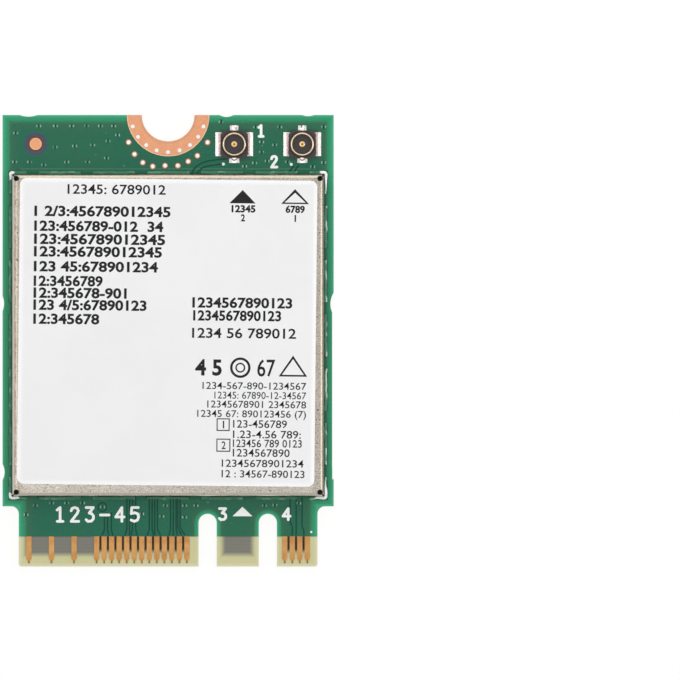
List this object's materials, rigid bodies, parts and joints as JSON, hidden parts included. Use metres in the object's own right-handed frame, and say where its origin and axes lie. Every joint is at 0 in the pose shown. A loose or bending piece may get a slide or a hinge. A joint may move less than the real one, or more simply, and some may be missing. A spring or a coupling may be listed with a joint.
{
  "type": "wireless network card",
  "caption": "Flat plug-in radio card with a keyed gold-contact edge, a soldered shield can under a label, a half-round screw notch and small coax receptacles.",
  "frame": {"origin": "middle of the card's underside, on the surface that it lies on", "axes": "+Y runs along the card from the contact tongue to the screw notch, +Z out of the component side, +X towards the pair of coax receptacles"},
  "size_m": [0.022, 0.03, 0.0023],
  "materials": {
    "laminate": "translucent glass-cloth and epoxy laminate, cut edges slightly fuzzy",
    "solder_mask": "semi-gloss green solder mask over copper",
    "bare_copper": "flat gold-flashed copper, slightly grainy",
    "gold_contact": "hard gold plating, satin",
    "tin": "bright reflowed solder",
    "can_metal": "satin nickel silver with fine dark specks",
    "label_film": "matt white film label",
    "insulator": "dark moulded liquid-crystal polymer",
    "chip_body": "matt black moulded epoxy",
    "ceramic": "fired ceramic",
    "ferrite": "dark pressed ferrite",
    "resistor_glaze": "dark glazed alumina"
  },
  "bodies": {
    "root": {"board_laminate": "laminate", "solder_mask_top": "solder_mask", "solder_mask_bottom": "solder_mask", "ground_ring_top": "bare_copper", "ground_pad_bottom": "bare_copper", "notch_vias": "bare_copper", "heat_vias": "bare_copper", "contacts_top": "gold_contact", "contacts_bottom": "gold_contact", "alignment_mark": "bare_copper", "can_lands": "tin", "can_solder": "tin", "shield_can": "can_metal", "label": "label_film", "coax_lands": "tin", "main_coax_insulator": "insulator", "main_coax_ring": "gold_contact", "main_coax_pin": "gold_contact", "aux_coax_insulator": "insulator", "aux_coax_ring": "gold_contact", "aux_coax_pin": "gold_contact", "component_lands": "tin", "radio_chip": "chip_body", "radio_chip_terminals": "tin", "crystal_base": "ceramic", "crystal_lid": "can_metal", "main_front_end": "chip_body", "aux_front_end": "chip_body", "main_antenna_filter": "ceramic", "aux_antenna_filter": "ceramic", "memory_chip": "chip_body", "core_inductor": "ferrite", "radio_inductor": "ferrite", "capacitors": "ceramic", "resistors": "resistor_glaze"}
  },
  "joints": []
}
